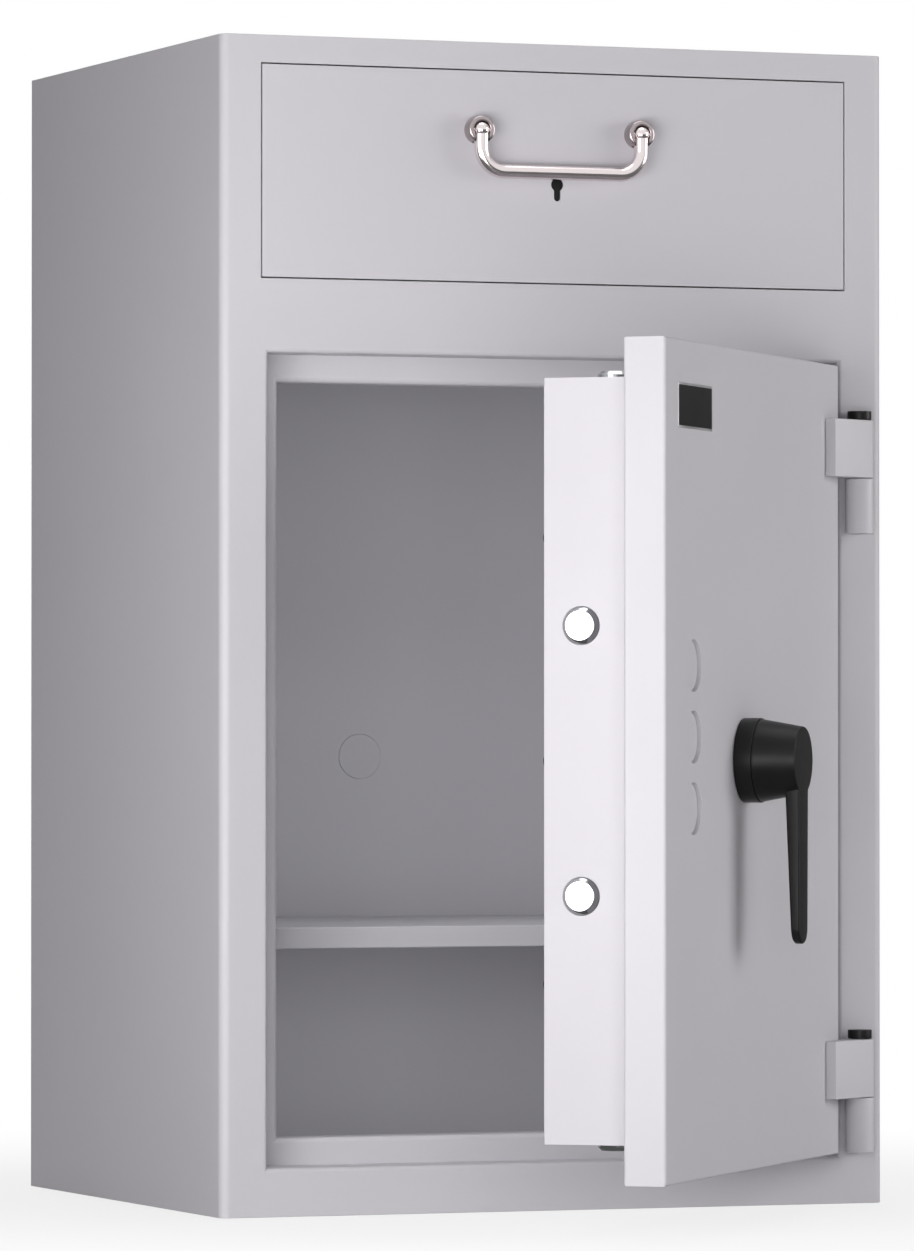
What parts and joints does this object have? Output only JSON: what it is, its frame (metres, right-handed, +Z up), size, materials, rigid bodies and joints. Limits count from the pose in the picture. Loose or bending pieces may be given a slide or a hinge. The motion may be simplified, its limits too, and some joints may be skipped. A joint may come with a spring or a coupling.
{
  "type": "drop safe with deposit drawer",
  "caption": "Free-standing steel safe with a deposit drawer above a hinged door, a lever handle that throws round bolts, and a shelf inside.",
  "frame": {"origin": "centre of the body's underside", "axes": "+Z up, -Y out of the front face, +X to the hinge side (right, seen from the front)"},
  "size_m": [0.6, 0.91, 0.98],
  "materials": {
    "grey_paint": "light grey powder coat, satin",
    "inner_paint": "grey powder coat, matt",
    "chrome": "polished chrome",
    "polished_steel": "polished stainless steel",
    "black_plastic": "black, satin",
    "zinc_steel": "zinc plated"
  },
  "bodies": {
    "safe_body": {"outer_casing": "grey_paint", "rear_wall": "inner_paint", "front_frame": "grey_paint", "door_lip_frame": "grey_paint", "divider_panel": "inner_paint", "anchor_cap": "inner_paint", "shelf": "inner_paint", "shelf_bracket_front_left": "inner_paint", "shelf_bracket_rear_left": "inner_paint", "shelf_bracket_front_right": "inner_paint", "shelf_bracket_rear_right": "inner_paint", "runner_fixed_left": "zinc_steel", "runner_fixed_right": "zinc_steel", "hinge_knuckle_upper": "grey_paint", "hinge_knuckle_lower": "grey_paint", "hinge_pin_upper": "zinc_steel", "hinge_pin_lower": "zinc_steel", "hinge_cap_upper": "black_plastic", "hinge_cap_lower": "black_plastic"},
    "door": {"door_plate": "grey_paint", "lock_blank_1": "grey_paint", "lock_blank_2": "grey_paint", "lock_blank_3": "grey_paint", "hinge_leaf_upper": "grey_paint", "hinge_leaf_lower": "grey_paint", "bolt_box": "grey_paint", "bolt_box_cover": "grey_paint", "cover_screw_1": "black_plastic", "cover_screw_2": "black_plastic", "cover_screw_3": "black_plastic", "cover_screw_4": "black_plastic", "cover_screw_5": "black_plastic", "cover_screw_6": "black_plastic", "bolt_guide_latch": "zinc_steel", "bolt_guide_top": "zinc_steel", "bolt_guide_bottom": "zinc_steel", "handle_rosette": "black_plastic"},
    "handle": {"handle_lever": "black_plastic", "handle_spindle": "zinc_steel", "cam_disc": "zinc_steel"},
    "latch_carriage": {"latch_bar": "zinc_steel", "latch_bolt_upper": "chrome", "latch_bolt_lower": "chrome"},
    "top_bolt_rod": {"top_rod": "zinc_steel", "top_bolt": "chrome"},
    "bottom_bolt_rod": {"bottom_rod": "zinc_steel", "bottom_bolt": "chrome"},
    "drawer": {"drawer_front": "grey_paint", "drawer_tray": "zinc_steel", "runner_moving_left": "zinc_steel", "runner_moving_right": "zinc_steel", "drawer_lock_case": "zinc_steel", "baffle_rod": "zinc_steel", "handle_cup_left": "polished_steel", "handle_cup_right": "polished_steel", "handle_cross_pin_left": "polished_steel", "handle_cross_pin_right": "polished_steel"},
    "lock_bolt": {"drawer_lock_bolt": "zinc_steel"},
    "baffle": {"drop_baffle": "zinc_steel"},
    "pull": {"drawer_handle": "polished_steel"}
  },
  "joints": [
    {"name": "door_swing", "type": "hinge", "parent": "safe_body", "child": "door", "pos_m": [0.2723, -0.2637, 0], "axis": [0, 0, 1], "range_deg": [-50.3, 119.7]},
    {"name": "handle_turn", "type": "hinge", "parent": "door", "child": "handle", "pos_m": [0.06706, -0.48946, 0.3785], "axis": [0.7694, -0.6388, 0], "range_deg": [0, 90]},
    {"name": "latch_bolt_slide", "type": "slide", "parent": "door", "child": "latch_carriage", "axis": [-0.6388, -0.7694, 0], "range_m": [0, 0.0222]},
    {"name": "top_bolt_slide", "type": "slide", "parent": "door", "child": "top_bolt_rod", "axis": [0, 0, 1], "range_m": [0, 0.0155]},
    {"name": "bottom_bolt_slide", "type": "slide", "parent": "door", "child": "bottom_bolt_rod", "axis": [0, 0, -1], "range_m": [0, 0.0155]},
    {"name": "drawer_slide", "type": "slide", "parent": "safe_body", "child": "drawer", "axis": [0, -1, 0], "range_m": [0, 0.25]},
    {"name": "baffle_swing", "type": "hinge", "parent": "drawer", "child": "baffle", "pos_m": [0, 0.072, 0.936], "axis": [1, 0, 0], "range_deg": [-40, 0]},
    {"name": "drawer_handle_swing", "type": "hinge", "parent": "drawer", "child": "pull", "pos_m": [0, -0.2595, 0.9058], "axis": [-1, 0, 0], "range_deg": [0, 90]},
    {"name": "drawer_lock_slide", "type": "slide", "parent": "drawer", "child": "lock_bolt", "axis": [0, 0, -1], "range_m": [0, 0.014]}
  ],
  "couplings": [
    {"joint": "latch_bolt_slide", "follows": "handle_turn", "m_per_rad": 0.014132},
    {"joint": "top_bolt_slide", "follows": "handle_turn", "m_per_rad": 0.009867},
    {"joint": "bottom_bolt_slide", "follows": "handle_turn", "m_per_rad": 0.009867},
    {"joint": "baffle_swing", "follows": "drawer_slide", "rad_per_m": -2.7925}
  ]
}
